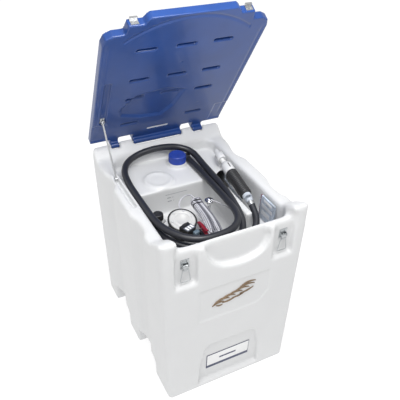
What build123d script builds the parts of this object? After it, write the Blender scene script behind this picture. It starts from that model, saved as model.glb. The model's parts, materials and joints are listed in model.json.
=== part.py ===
"""Portable fluid dispensing tank with a hinged lid held open by a stay rod.

Millimetres, X right, Y back, Z up, origin at the centre of the top outline, on the floor.
"""

from math import atan2, cos, degrees, radians, sin, sqrt, tan
import os

from build123d import *

os.makedirs("parts", exist_ok=True)

# ---- driving dimensions -------------------------------------------------------------
TOP_X, TOP_Y = 300.0, 354.0          # half width and half depth at the top
BASE_X, BASE_FRONT, BASE_BACK = 284.0, -397.0, 360.0
POST_Z, RIM_Z = 815.0, 768.0         # corner posts and rear block, side and front walls
SHELF_Z, WELL_Z, TROUGH_Z = 720.0, 600.0, 650.0
TROUGH_X, CUT_Z = 158.0, 640.0       # left side of the nozzle trough, hose way beside it
WELL_X, WELL_FRONT, WELL_BACK = 238.0, -314.0, 300.0
SHELF_FRONT = 75.0
FORK_Z = 100.0
FORKS = ((65.0, 243.0), (-246.0, -55.0))

OPEN_DEG = 58.81                     # lid angle when held open
HINGE_Y, HINGE_Z, HINGE_R, PIN_R = 350.0, 803.0, 12.0, 5.0
LID_UP, LID_T = 13.0, 30.0           # inner face above the hinge axis, lid thickness
LID_KNUCKLES = ((-215.0, -177.3), (-114.7, 111.7), (165.3, 214.0))
TANK_KNUCKLES = ((-176.5, -115.5), (112.5, 164.5))

STAY_X, STAY_R, STAY_S, STAY_T = -260.0, 3.5, 168.0, 3.0
STAY_FOOT = (163.0, 764.0)           # y, z of the foot in the wall slot
LATCH_X, LATCH_Y, LATCH_Z = 201.0, -352.0, 706.0
HOSE_R, GUARD_R = 13.5, 16.4
CAP_X, CAP_Y = 38.0, 228.0
PUMP_X, PUMP_Y, PUMP_Z, PUMP_TILT = -93.0, -100.0, 692.0, 13.0
KNOB_X, KNOB_Y = -165.0, -31.0
PROBE_X, PROBE_Y = 52.0, -44.0

SUB = Mode.SUBTRACT
MIN_Z = (Align.CENTER, Align.CENTER, Align.MIN)
C, S = cos(radians(OPEN_DEG)), sin(radians(OPEN_DEG))
LID = Plane(origin=(0, HINGE_Y + LID_UP * S, HINGE_Z + LID_UP * C), x_dir=(1, 0, 0), z_dir=(0, S, C))


def front_y(z):
    """Y of the sloping front face at height z."""
    return BASE_FRONT + (-TOP_Y - BASE_FRONT) * z / POST_Z


BETA = atan2(-TOP_Y - BASE_FRONT, POST_Z)
FACE = Plane(origin=(0, front_y(500), 500), x_dir=(1, 0, 0), z_dir=(0, -cos(BETA), sin(BETA)))


def box(x0, x1, y0, y1, z0, z1, mode=Mode.ADD, plane=Plane.XY):
    with Locations(plane.location * Location(((x0 + x1) / 2, (y0 + y1) / 2, (z0 + z1) / 2))):
        Box(x1 - x0, y1 - y0, z1 - z0, mode=mode)


def lid_box(x0, x1, s0, s1, t0, t1, mode=Mode.ADD):
    """Box in lid terms: s runs from the hinge to the lip, t outwards from the inner face."""
    box(x0, x1, -s1, -s0, t0, t1, mode, LID)


def bar(start, end, r, mode=Mode.ADD, r_end=None):
    """Round bar or cone from start to end."""
    start, end = Vector(*start), Vector(*end)
    run = end - start
    with Locations(Plane(origin=start, z_dir=run).location):
        if r_end is None:
            Cylinder(r, run.length, align=MIN_Z, mode=mode)
        else:
            Cone(r, r_end, run.length, align=MIN_Z, mode=mode)


def prism(plane, points, amount, mode=Mode.ADD, direction=None):
    with BuildSketch(plane) as outline:
        Polygon(*points, align=None)
    extrude(outline.sketch, amount=amount, dir=direction or plane.z_dir, mode=mode)


def lid_point(x, s, t):
    return LID.from_local_coords(Vector(x, -s, t))


def save(part, name):
    part.label = name
    export_step(part, "parts/" + name + ".step")


# ---- tank ---------------------------------------------------------------------------
with BuildPart() as tank_body:
    with BuildSketch(Plane.XY):
        with Locations((0, (BASE_FRONT + BASE_BACK) / 2)):
            RectangleRounded(2 * BASE_X, BASE_BACK - BASE_FRONT, 20)
    with BuildSketch(Plane.XY.offset(POST_Z)):
        RectangleRounded(2 * TOP_X, 2 * TOP_Y, 20)
    loft()
    # lowered side walls between the rear block and the corner posts
    prism(Plane.YZ.offset(-340), [(-259, RIM_Z), (298, RIM_Z), (345, POST_Z), (345, 900),
                                  (-330, 900), (-330, POST_Z), (-288, 792)], 680, SUB)
    # lowered front wall between the posts
    box(-230, 230, -420, -250, RIM_Z, 900, SUB)
    # two fork tunnels from side to side
    for y0, y1 in FORKS:
        prism(Plane.YZ.offset(-340), [(y0, -5), (y1, -5), (y1, FORK_Z - 15), (y1 - 15, FORK_Z),
                                      (y0 + 15, FORK_Z), (y0, FORK_Z - 15)], 680, SUB)
    # slanting channels down each side, following the taper of the walls
    lean = (TOP_X - BASE_X) / POST_Z
    for side in (-1, 1):
        for outline in (((303, 298), (294, 225), (282, 179), (279, 130), (298, 100)),
                        ((299, -80), (286, -116), (284, -165), (287, -190), (306, -213))):
            shift = lean * (RIM_Z - 90)
            ring = [(side * (x - shift), y) for x, y in outline]
            ring += [(side * 340, outline[-1][1]), (side * 340, outline[0][1])]
            prism(Plane.XY.offset(90), ring if side < 0 else ring[::-1], 760, SUB,
                  (side * lean, 0, 1))
    # compartment: open top, rear shelf, deep well, nozzle trough
    with BuildSketch(Plane.XY.offset(SHELF_Z)):
        with Locations((0, (WELL_FRONT + WELL_BACK) / 2)):
            RectangleRounded(2 * WELL_X, WELL_BACK - WELL_FRONT, 50)
    extrude(amount=200, mode=SUB)
    with BuildSketch(Plane.XY.offset(WELL_Z)):
        with Locations(((128 - WELL_X) / 2, (WELL_FRONT + SHELF_FRONT) / 2)):
            RectangleRounded(128 + WELL_X, SHELF_FRONT - WELL_FRONT, 38)
    extrude(amount=150, mode=SUB)
    with BuildSketch(Plane.XY.offset(TROUGH_Z)):
        with Locations(((TROUGH_X + WELL_X) / 2, (WELL_FRONT + 110) / 2)):
            RectangleRounded(WELL_X - TROUGH_X, 110 - WELL_FRONT, 34)
    extrude(amount=120, mode=SUB)
    box(95, 180, -313, -205, CUT_Z, 760, SUB)
    # hand scoop under the front rim and the two latch pockets
    prism(Plane.XZ.offset(332), [(-122, 800), (-125, 755), (-118, 722), (-104, 695), (-84, 672),
                                 (-58, 655), (-24, 646), (13, 642), (50, 644), (80, 650),
                                 (103, 661), (120, 678), (133, 701), (139, 726), (136, 758),
                                 (127, 800)][::-1], 90, SUB)
    for side in (-1, 1):
        box(side * LATCH_X - 43, side * LATCH_X + 43, -420, -342, 620, 790, SUB)
        prism(Plane.YZ.offset(side * LATCH_X - 43), [(-342, 620.01), (-420, 620.01), (-420, 575)],
              86, SUB)
    # arched recess for the label, and the raised panel line above it
    prism(Plane.XZ.offset(372), [(-145, 20), (145, 20), (137, 150), (116, 235), (90, 250),
                                 (-90, 250), (-116, 235), (-137, 150)], 60, SUB)
    # round blank boss and filler neck on the shelf
    bar((-87, 143, SHELF_Z), (-87, 143, 730), 63, r_end=60)
    bar((-87, 143, 724), (-87, 143, 735), 45.5, SUB)
    bar((CAP_X, CAP_Y, SHELF_Z), (CAP_X, CAP_Y, 737), 40, r_end=37.5)
    bar((CAP_X, CAP_Y, 736), (CAP_X, CAP_Y, 764), 31)
    # slot that guides the foot of the stay rod
    box(STAY_X - 7, STAY_X + 7, -46, 176, 744, 790, SUB)
    # notches for the lid's knuckles, then the tank's own knuckles and the pin bore
    for x0, x1 in LID_KNUCKLES:
        box(x0 - 0.8, x1 + 0.8, 335.5, 380, 788.5, 900, SUB)
    for x0, x1 in TANK_KNUCKLES:
        bar((x0, HINGE_Y, HINGE_Z), (x1, HINGE_Y, HINGE_Z), HINGE_R)
    bar((-222, HINGE_Y, HINGE_Z), (222, HINGE_Y, HINGE_Z), PIN_R + 0.05, SUB)
    # the liquid space inside, reached through the filler neck
    box(-256, 256, -356, 342, 112, 588, SUB)
    for y0, y1 in ((252, 342), (-46, 56), (-356, -255)):
        box(-250, 250, y0, y1, 10, 113, SUB)
    box(-230, 230, 83, 292, 587, 712, SUB)
    box(246, 271, -296, 288, 587, 756, SUB)
    box(-271, -246, -296, 288, 587, 733, SUB)
    box(-285, 285, 308, 344, 587, 764, SUB)
    bar((CAP_X, CAP_Y, 700), (CAP_X, CAP_Y, 770), 25, SUB)
save(tank_body.part, "tank_body")

# ---- lid ----------------------------------------------------------------------------
with BuildPart() as lid_shell:
    half = [(300, -24), (300, -588), (292, -612), (268, -625), (228, -626), (222, -660),
            (170, -660), (160, -676), (148, -684)]
    with BuildSketch(LID):
        Polygon(*(half + [(-x, y) for x, y in half[::-1]]), align=None)
    extrude(amount=LID_T)
    for x0, x1 in LID_KNUCKLES:
        lid_box(x0, x1, -10, 40, 0, LID_T)
        lid_box(x0, x1, -10, 10, -LID_UP, 0.5)
        bar(lid_point(x0, 0, -LID_UP), lid_point(x1, 0, -LID_UP), HINGE_R)
    for x0, x1 in TANK_KNUCKLES:
        lid_box(x0 - 0.8, x1 + 0.8, -12, 34, -1, LID_T + 1, SUB)
    bar((-222, HINGE_Y, HINGE_Z), (222, HINGE_Y, HINGE_Z), PIN_R + 0.05, SUB)
    # hollow inside, with drain holes, moulded slots, the stay groove and a hand slot
    lid_box(-238, 288, 74, 612, 7, 23, SUB)
    for s in (126, 286, 396, 546):
        for x in (-145, 0, 140):
            if s > 126 or x:
                lid_box(x - 36, x + 36, s - 6, s + 6, -1, 5, SUB)
    for x, s in ((3, 461), (145, 185)):
        bar(lid_point(x, s, -1), lid_point(x, s, 9), 4, SUB)
    lid_box(STAY_X - 12, STAY_X + 12, 150, 400, -1, 9, SUB)
    lid_box(-56, 41, 55, 65, -1, LID_T + 1, SUB)
save(lid_shell.part, "lid_shell")

with BuildPart() as hinge_pin:
    bar((-214, HINGE_Y, HINGE_Z), (213, HINGE_Y, HINGE_Z), PIN_R)
save(hinge_pin.part, "hinge_pin")

# the catch plates on the lid's lip that the latch bails pull on
with BuildPart() as lid_keepers:
    for x in (-LATCH_X, LATCH_X):
        lid_box(x - 13, x + 13, 660, 662.5, 5, LID_T - 2)
        lid_box(x - 13, x + 13, 662.5, 670, 22, 24.5)
        lid_box(x - 13, x + 13, 667.5, 670, 24.5, 29)
save(lid_keepers.part, "lid_keepers")

with BuildPart() as keeper_rivets:
    for x in (-LATCH_X, LATCH_X):
        for dx in (-7, 7):
            bar(lid_point(x + dx, 662.5, 13), lid_point(x + dx, 664.5, 13), 3)
save(keeper_rivets.part, "keeper_rivets")

# ---- stay rod -----------------------------------------------------------------------
STAY_P = lid_point(STAY_X, STAY_S, STAY_T)
FOOT_P = Vector(STAY_X, *STAY_FOOT)
with BuildPart() as stay_bracket:
    lid_box(STAY_X - 9, STAY_X + 9, STAY_S - 18, STAY_S + 18, 7.6, 9)
    for x0, x1 in ((-7, -4.2), (4.2, 7)):
        lid_box(STAY_X + x0, STAY_X + x1, STAY_S - 9, STAY_S + 9, -3, 7.6)
    bar(STAY_P - Vector(12, 0, 0), STAY_P + Vector(12, 0, 0), 1.6, SUB)
save(stay_bracket.part, "stay_bracket")

with BuildPart() as stay_pin:
    bar(STAY_P - Vector(8, 0, 0), STAY_P + Vector(8, 0, 0), 1.6)
save(stay_pin.part, "stay_pin")

with BuildPart() as stay_rod:
    bar(STAY_P - Vector(3.6, 0, 0), STAY_P + Vector(3.6, 0, 0), 3.9)
    bar(STAY_P, FOOT_P, STAY_R)
    bar(FOOT_P - Vector(5, 0, 0), FOOT_P + Vector(5, 0, 0), STAY_R + 0.5)
    bar(STAY_P - Vector(12, 0, 0), STAY_P + Vector(12, 0, 0), 1.65, SUB)
save(stay_rod.part, "stay_rod")

# ---- latches ------------------------------------------------------------------------
BAIL_Z = LATCH_Z - 16


def latch_base(x):
    box(x - 16, x + 16, -344.5, -342, 688, 728)
    for x0, x1 in ((-12, -9.5), (9.5, 12)):
        box(x + x0, x + x1, -357, -344.5, 700, 712)
    bar((x - 20, LATCH_Y, LATCH_Z), (x + 20, LATCH_Y, LATCH_Z), 2.0, SUB)
    for dx, z in ((-8, 722), (8, 722), (0, 693)):
        bar((x + dx, -346.1, z), (x + dx, -344.4, z), 3)


def latch_lever(x):
    bar((x - 9, LATCH_Y, LATCH_Z), (x + 9, LATCH_Y, LATCH_Z), 4)
    box(x - 9, x + 9, LATCH_Y - 2, LATCH_Y + 1, LATCH_Z - 22, LATCH_Z)
    bar((x - 9, LATCH_Y, BAIL_Z), (x + 9, LATCH_Y, BAIL_Z), 4)
    bar((x - 12, LATCH_Y, LATCH_Z), (x + 12, LATCH_Y, LATCH_Z), 2.05, SUB)
    bar((x - 12, LATCH_Y, BAIL_Z - 1), (x + 12, LATCH_Y, BAIL_Z - 1), 1.58, SUB)


def latch_bail(x):
    y, top, low = LATCH_Y, BAIL_Z, 632
    corners = [(x - 10.8, y, top), (x - 20, y, low), (x + 20, y, low), (x + 10.8, y, top)]
    with BuildLine() as wire:
        FilletPolyline(*corners, radius=4)
    with BuildSketch(Plane(origin=corners[0], z_dir=Vector(*corners[1]) - Vector(*corners[0]))) as section:
        Circle(1.6)
    sweep(section.sketch, path=wire.wires()[0])
    bar((x - 11, y, top - 1), (x + 11, y, top - 1), 1.5)


with BuildPart() as latch_base_left:
    latch_base(-LATCH_X)
save(latch_base_left.part, "latch_base_left")

with BuildPart() as latch_base_right:
    latch_base(LATCH_X)
save(latch_base_right.part, "latch_base_right")

with BuildPart() as latch_pins:
    for x in (-LATCH_X, LATCH_X):
        bar((x - 13.5, LATCH_Y, LATCH_Z), (x + 13.5, LATCH_Y, LATCH_Z), 2.0)
save(latch_pins.part, "latch_pins")

with BuildPart() as latch_lever_left:
    latch_lever(-LATCH_X)
save(latch_lever_left.part, "latch_lever_left")

with BuildPart() as latch_lever_right:
    latch_lever(LATCH_X)
save(latch_lever_right.part, "latch_lever_right")

with BuildPart() as latch_bail_left:
    latch_bail(-LATCH_X)
save(latch_bail_left.part, "latch_bail_left")

with BuildPart() as latch_bail_right:
    latch_bail(LATCH_X)
save(latch_bail_right.part, "latch_bail_right")

# ---- filler cap ---------------------------------------------------------------------
with BuildPart() as filler_cap:
    bar((CAP_X, CAP_Y, 737.5), (CAP_X, CAP_Y, 772), 36.5)
    with Locations((CAP_X, CAP_Y, 741)):
        with PolarLocations(36.2, 24):
            Cylinder(1.6, 27, align=MIN_Z)
    bar((CAP_X, CAP_Y, 737), (CAP_X, CAP_Y, 768), 32, SUB)
save(filler_cap.part, "filler_cap")

with BuildPart() as cap_seal:
    bar((CAP_X, CAP_Y, 764.3), (CAP_X, CAP_Y, 767.7), 31)
    bar((CAP_X, CAP_Y, 764), (CAP_X, CAP_Y, 768), 24, SUB)
save(cap_seal.part, "cap_seal")

# ---- pump ---------------------------------------------------------------------------
PUMP_LEAN = radians(PUMP_TILT)
PUMP = Plane(origin=(PUMP_X, PUMP_Y, PUMP_Z), x_dir=(1, 0, 0),
             z_dir=(0, -sin(PUMP_LEAN), cos(PUMP_LEAN)))
SWITCH_X, SWITCH_Y, SWITCH_TOP = -106.0, -171.0, 714.0
TURN = radians(21)
SWITCH = Plane(origin=(SWITCH_X, SWITCH_Y, 0), x_dir=(cos(TURN), sin(TURN), 0), z_dir=(0, 0, 1))


def pump_bar(x, y, z0, z1, r, mode=Mode.ADD, r_end=None):
    """Bar along the leaning axis of the pump."""
    bar(PUMP.from_local_coords(Vector(x, y, z0)), PUMP.from_local_coords(Vector(x, y, z1)),
        r, mode, r_end)


with BuildPart() as pump_bracket:
    box(-134, -52, -124, -44, WELL_Z, WELL_Z + 6)
    box(-122, -64, -112, -56, WELL_Z + 6, 640)
    pump_bar(0, 0, -80, -10, 50, SUB)
save(pump_bracket.part, "pump_bracket")

with BuildPart() as motor:
    pump_bar(0, 0, -78, -60, 42)
save(motor.part, "motor")

with BuildPart() as pump_housing:
    pump_bar(0, 0, -60, -11, 50)
    pump_bar(0, 0, -11, -9, 56)
save(pump_housing.part, "pump_housing")

with BuildPart() as pump_ring:
    pump_bar(0, 0, -9, 0, 57.5)
    pump_bar(0, 0, -10, 1, 51.5, SUB)
save(pump_ring.part, "pump_ring")

with BuildPart() as pump_face:
    pump_bar(0, 0, -9, 2, 51.4, r_end=49.5)
save(pump_face.part, "pump_face")

with BuildPart() as pump_screws:
    for k in (0, 1, 2, 3):
        a = radians(60 * k)
        pump_bar(42 * cos(a), 42 * sin(a), 2, 4.5, 4)
save(pump_screws.part, "pump_screws")

with BuildPart() as switch_box:
    box(-23, 23, -22.5, 22.5, 690, SWITCH_TOP, plane=SWITCH)
    box(-12, 12, -18, 22, 655, 690, plane=SWITCH)
    pump_bar(0, 0, -90, 6, 57.6, SUB)
    box(-9.5, 9.5, 6, 20, 702, 715, SUB, SWITCH)
    bar(SWITCH.from_local_coords(Vector(-12, 13, 708)), SWITCH.from_local_coords(Vector(12, 13, 708)),
        2.05, SUB)
save(switch_box.part, "switch_box")

with BuildPart() as switch_plate:
    box(-21, 21, -20.5, 3, SWITCH_TOP, SWITCH_TOP + 1.2, plane=SWITCH)
save(switch_plate.part, "switch_plate")

ROCKER_A = SWITCH.from_local_coords(Vector(-11.5, 13, 708))
ROCKER_B = SWITCH.from_local_coords(Vector(11.5, 13, 708))
with BuildPart() as rocker_switch:
    side = Plane(origin=SWITCH.from_local_coords(Vector(-9, 0, 0)), x_dir=(-sin(TURN), cos(TURN), 0),
                 z_dir=(cos(TURN), sin(TURN), 0))
    prism(side, [(7, 706), (13, 704.5), (19, 706), (19, 717.5), (13, 714.5), (7, 715.5)], 18)
    bar(ROCKER_A, ROCKER_B, 2.0)
save(rocker_switch.part, "rocker_switch")

with BuildPart() as terminal_cover:
    box(2, 27, -40, -22.5, 682, 703, plane=SWITCH)
save(terminal_cover.part, "terminal_cover")

with BuildPart() as cable_gland:
    bar((-58, -66, 669), (-58, -46, 669), 6)
    pump_bar(0, 0, -80, 0, 50.1, SUB)
save(cable_gland.part, "cable_gland")

# ---- strainer standpipe with its knob, level probe ----------------------------------
with BuildPart() as strainer_pipe:
    bar((KNOB_X, KNOB_Y, WELL_Z), (KNOB_X, KNOB_Y, WELL_Z + 8), 26)
    bar((KNOB_X, KNOB_Y, WELL_Z + 8), (KNOB_X, KNOB_Y, 671.5), 15)
    bar((KNOB_X + 10, KNOB_Y, 640), (-137, KNOB_Y, 660), 9)
save(strainer_pipe.part, "strainer_pipe")

with BuildPart() as strainer_knob:
    bar((KNOB_X, KNOB_Y, 672), (KNOB_X, KNOB_Y, 697), 19.5, r_end=18)
    with Locations((KNOB_X, KNOB_Y, 672)):
        with PolarLocations(19, 10):
            Cylinder(2.6, 21, align=MIN_Z)
save(strainer_knob.part, "strainer_knob")

with BuildPart() as level_probe:
    bar((PROBE_X, PROBE_Y, WELL_Z), (PROBE_X, PROBE_Y, 604), 20)
    bar((PROBE_X, PROBE_Y, 604), (PROBE_X, PROBE_Y, 690), 7)
    with BuildSketch(Plane.XY.offset(690)):
        with Locations((PROBE_X, PROBE_Y)):
            RegularPolygon(13, 6)
    extrude(amount=12)
    bar((PROBE_X, PROBE_Y, 702), (PROBE_X, PROBE_Y, 712), 10)
    bar((PROBE_X + 0.6, PROBE_Y + 3, 707.6), (62, -54, 707), 4.5)
save(level_probe.part, "level_probe")


# ---- cords --------------------------------------------------------------------------
def corner_radii(points):
    """Bend radius at each inner corner, sized to the shorter run beside it."""
    pts = [Vector(*p) for p in points]
    out = []
    for a, b, c in zip(pts, pts[1:], pts[2:]):
        turn = (b - a).get_angle(c - b)
        out.append(0.45 * min((b - a).length, (c - b).length) / tan(radians(turn / 2)))
    return out


def cord(points, r, radii=None, bore=None):
    """Round cord along straight runs joined by tangent arcs, or a sleeve with a bore."""
    radii = radii or corner_radii(points)
    with BuildLine() as path:
        FilletPolyline(*points, radius=radii)
    first = Vector(*points[1]) - Vector(*points[0])
    with BuildSketch(Plane(origin=points[0], z_dir=first)) as section:
        Circle(r)
        if bore:
            Circle(bore, mode=SUB)
    sweep(section.sketch, path=path.wires()[0])
    length = path.wires()[0].length
    print("cord length %.0f, smallest bend %.0f, r %.1f" % (length, min(radii), r))
    print("   bends", [round(v) for v in radii])


HOSE = [(92.5, 236, 735), (92.5, 186, 735), (95.5, 116, 735.5), (95, 40, 736), (92, -40, 739),
        (89, -118, 742), (86, -190, 743), (66, -246, 744), (20, -286, 746), (-40, -298, 747),
        (-106, -296, 749), (-154, -272, 750), (-188, -230, 751), (-214, -178, 752),
        (-223.5, -112, 753), (-224, -30, 754), (-224, 50, 754), (-223, 130, 756),
        (-212, 205, 760), (-180, 256, 768), (-126, 281, 777), (-60, 286, 785), (12, 286, 783),
        (74, 277, 772), (117, 238, 760), (125, 166, 743), (124, 90, 741), (122.5, 10, 741),
        (119, -64, 739), (114, -140, 730), (108, -205, 712), (84, -258, 694), (34, -290, 688),
        (-38, -297, 692), (-108, -292, 704), (-168, -264, 712), (-208, -212, 716),
        (-222, -140, 716), (-222, -70, 712), (-218, -20, 698), (-212, 0, 665), (-210, -20, 632),
        (-206, -70, 616), (-190, -150, 615), (-140, -220, 615), (-60, -262, 615),
        (30, -272, 618), (90, -266, 632), (125, -255, 658), (158, -235, 674), (184, -190, 692),
        (188.5, -134, 714)]
GUARD_AT = 32                        # first hose corner inside the ribbed sleeve
with BuildPart() as delivery_hose:
    cord(HOSE, HOSE_R)
save(delivery_hose.part, "delivery_hose")

with BuildPart() as hose_ferrules:
    for a, b, length in ((HOSE[0], HOSE[1], 9), (HOSE[-1], HOSE[-2], 16)):
        a, b = Vector(*a), Vector(*b)
        step = (b - a).normalized()
        bar(a, a + step * length, 14.6)
    for a, b in ((HOSE[0], HOSE[1]), (HOSE[-1], HOSE[-2])):
        a, b = Vector(*a), Vector(*b)
        step = (b - a).normalized()
        bar(a - step * 2, a + step * 30, HOSE_R, SUB)
save(hose_ferrules.part, "hose_ferrules")

# outlet on the shelf where the hose starts
with BuildPart() as hose_elbow:
    box(79, 104, 236, 258, SHELF_Z, 748)
save(hose_elbow.part, "hose_elbow")

# ribbed sleeve that guards the hose where it rubs on the front wall
MID_A = (Vector(*HOSE[GUARD_AT - 1]) + Vector(*HOSE[GUARD_AT])) / 2
MID_B = (Vector(*HOSE[GUARD_AT + 2]) + Vector(*HOSE[GUARD_AT + 3])) / 2
with BuildPart() as hose_guard:
    cord([tuple(MID_A), *HOSE[GUARD_AT:GUARD_AT + 3], tuple(MID_B)], GUARD_R,
         corner_radii(HOSE)[GUARD_AT - 1:GUARD_AT + 2], HOSE_R + 0.15)
save(hose_guard.part, "hose_guard")

# ---- nozzle -------------------------------------------------------------------------
NOZ_A, NOZ_B = Vector(199, 99, 756), Vector(186, -107, 728)
NOZ_DIR = (NOZ_B - NOZ_A).normalized()
NOZ = Plane(origin=NOZ_A, x_dir=(-NOZ_DIR.Y, NOZ_DIR.X, 0), z_dir=NOZ_DIR)


def along(d):
    return NOZ_A + NOZ_DIR * d


with BuildPart() as nozzle_grip:
    bar(along(62), along(206), 22)
    for k in range(11):
        bar(along(70 + 12.4 * k), along(75 + 12.4 * k), 24.5)
    bar(along(60), along(210), 13, SUB)
save(nozzle_grip.part, "nozzle_grip")

with BuildPart() as nozzle_body:
    bar(along(12), along(61.8), 23.5)
    bar(along(0), along(12), 17)
    bar(along(61.8), along(206), 13)
save(nozzle_body.part, "nozzle_body")

with BuildPart() as nozzle_spout:
    bar(along(-92), along(0), 10.5)
    bar(along(-93), along(-4), 8.5, SUB)
save(nozzle_spout.part, "nozzle_spout")

# the trigger hangs under the grip inside its guard
DOWN = Vector(0, 0, -1)
PIVOT = along(36) + DOWN * 29
with BuildPart() as trigger_guard:
    for x0 in (-8.5, 5.5):
        with Locations(Plane(origin=PIVOT, x_dir=(1, 0, 0), z_dir=(0, 0, 1)).location
                       * Location((x0 + 1.5, 0, 3))):
            Box(3, 16, 16)
    bar(PIVOT - Vector(14, 0, 0), PIVOT + Vector(14, 0, 0), 2.0, SUB)
    bar(along(0), along(62), 23.5, SUB)
    low_a, low_b = along(14) + DOWN * 66, along(168) + DOWN * 58
    bar(along(14) + DOWN * 24.7, low_a, 4)
    bar(low_a, low_b, 4)
    bar(low_b, along(168) + DOWN * 26.2, 4)
    for p in (low_a, low_b):
        with Locations(p):
            Sphere(4)
save(trigger_guard.part, "trigger_guard")

with BuildPart() as trigger_pin:
    bar(PIVOT - Vector(9.5, 0, 0), PIVOT + Vector(9.5, 0, 0), 2.0)
save(trigger_pin.part, "trigger_pin")

TRIG_END = along(150) + DOWN * 42
with BuildPart() as nozzle_trigger:
    bar(PIVOT - Vector(5, 0, 0), PIVOT + Vector(5, 0, 0), 5)
    run = TRIG_END - PIVOT
    lever = Plane(origin=PIVOT, x_dir=(1, 0, 0), z_dir=run)
    with Locations(lever.location * Location((0, 0, run.length / 2))):
        Box(8, 5, run.length)
    bar(PIVOT - Vector(14, 0, 0), PIVOT + Vector(14, 0, 0), 2.05, SUB)
save(nozzle_trigger.part, "nozzle_trigger")

with BuildPart() as hose_swivel:
    bar(along(206), along(222), 18)
    bar(along(222), Vector(*HOSE[-1]), 15)
    swivel_step = (Vector(*HOSE[-2]) - Vector(*HOSE[-1])).normalized()
    bar(Vector(*HOSE[-1]), Vector(*HOSE[-1]) + swivel_step * 30, 20, SUB)
save(hose_swivel.part, "hose_swivel")

with BuildPart() as spout_cup:
    box(194, 212, 128, 156, SHELF_Z, 746)
    bar(along(-62), along(-26), 19)
    bar(along(-63), along(-25), 11.2, SUB)
save(spout_cup.part, "spout_cup")

# ---- cable hank, ties, leads --------------------------------------------------------
HANK_A, HANK_B = Vector(0, -18, 708), Vector(-21, -240, 696)
HANK_DIR = (HANK_B - HANK_A).normalized()
HANK = Plane(origin=HANK_A, x_dir=(-HANK_DIR.Y, HANK_DIR.X, 0), z_dir=HANK_DIR)
HANK_TOP = Plane(origin=HANK_A, x_dir=HANK.x_dir, z_dir=HANK.y_dir)
HANK_L = (HANK_B - HANK_A).length
HANK_W, HANK_T = 44.0, 26.0
with BuildPart() as cable_hank:
    flat = HANK_TOP.offset(-HANK_T / 2)
    sign = 1 if HANK_TOP.to_local_coords(HANK_B).Y > 0 else -1
    ring = [(-HANK_W / 2, 0), (-HANK_W / 2, sign * 120), (-26, sign * HANK_L), (28, sign * HANK_L),
            (HANK_W / 2, sign * 120), (HANK_W / 2, 0)]
    prism(flat, ring if sign < 0 else ring[::-1], HANK_T)
save(cable_hank.part, "cable_hank")

with BuildPart() as cable_ties:
    for d in (20, 38):
        with BuildSketch(HANK.offset(d)):
            RectangleRounded(HANK_W + 4, HANK_T + 4, 3)
            Rectangle(HANK_W, HANK_T, mode=SUB)
        extrude(amount=5)
save(cable_ties.part, "cable_ties")

SUPPLY = [tuple(HANK_A), tuple(HANK_A - HANK_DIR * 26), (-11, 32, 699), (-34, 36, 684),
          (-52, 20, 674), (-58, -4, 670), (-58, -26, 669), (-58, -46, 669)]
LEAD = [tuple(HANK_B), tuple(HANK_B + HANK_DIR * 12), (-28, -264, 698), (-42, -268, 705),
        (-53, -258, 710), (-56, -244, 712)]
PROBE = [(62, -54, 707), (78, -76, 706), (96, -104, 702), (108, -134, 696), (117, -164, 694),
         (119, -194, 692), (113, -220, 682)]
with BuildPart() as supply_lead:
    cord(SUPPLY, 3.0)
save(supply_lead.part, "supply_lead")

with BuildPart() as clamp_lead:
    cord(LEAD, 3.0)
save(clamp_lead.part, "clamp_lead")

with BuildPart() as probe_cable:
    cord(PROBE, 2.0)
save(probe_cable.part, "probe_cable")


# ---- battery clamps -----------------------------------------------------------------
def clamp_jaw(x, y, z, up):
    """One half of a spring clamp: handle to the front, toothed mouth to the back."""
    k = 1 if up else -1
    profile = [(y - 34, z + k * 10), (y - 34, z + k * 7), (y - 8, z + k * 2.2),
               (y + 12, z + k * 4), (y + 22, z + k * 0.4), (y + 36, z + k * 0.4),
               (y + 36, z + k * 3.5), (y + 24, z + k * 5), (y + 10, z + k * 8),
               (y - 8, z + k * 7)]
    prism(Plane.YZ.offset(x - 6), profile if not up else profile[::-1], 12)
    lugs = ((-3.2, 3.2),) if up else ((-6, -3.6), (3.6, 6))
    for x0, x1 in lugs:
        bar((x + x0, y, z), (x + x1, y, z), 5)
    gaps = ((-6.5, -3.2), (3.2, 6.5)) if up else ((-3.6, 3.6),)
    for x0, x1 in gaps:
        bar((x + x0, y, z), (x + x1, y, z), 5.4, SUB)
    bar((x - 9, y, z), (x + 9, y, z), 2.05, SUB)


RED = (-56, -198, 712)
BLACK = (-56, -204, 678)
with BuildPart() as clamp_red_lower:
    clamp_jaw(*RED, False)
save(clamp_red_lower.part, "clamp_red_lower")

with BuildPart() as clamp_red_upper:
    clamp_jaw(*RED, True)
save(clamp_red_upper.part, "clamp_red_upper")

with BuildPart() as clamp_black_lower:
    clamp_jaw(*BLACK, False)
save(clamp_black_lower.part, "clamp_black_lower")

with BuildPart() as clamp_black_upper:
    clamp_jaw(*BLACK, True)
save(clamp_black_upper.part, "clamp_black_upper")

with BuildPart() as clamp_pins:
    for x, y, z in (RED, BLACK):
        bar((x - 7, y, z), (x + 7, y, z), 2.0)
save(clamp_pins.part, "clamp_pins")

# ---- documents and plates -----------------------------------------------------------
with BuildPart() as document_pouch:
    box(216, 230, -252, -152, TROUGH_Z, 742)
    box(217.2, 228.8, -250.5, -153.5, TROUGH_Z + 1.5, 760, SUB)
save(document_pouch.part, "document_pouch")

with BuildPart() as booklet:
    box(219, 227, -249, -155, TROUGH_Z + 2, 755)
save(booklet.part, "booklet")

with BuildPart() as label_plate:
    box(-103, 103, -374, -372, 84, 170)
save(label_plate.part, "label_plate")

with BuildPart() as emblem_plate:
    with BuildSketch(FACE):
        Ellipse(78, 25, rotation=14)
    extrude(amount=1.5)
save(emblem_plate.part, "emblem_plate")
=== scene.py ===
import bpy
import bmesh
import json
import math
import numpy as np
from mathutils import Matrix, Vector


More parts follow.
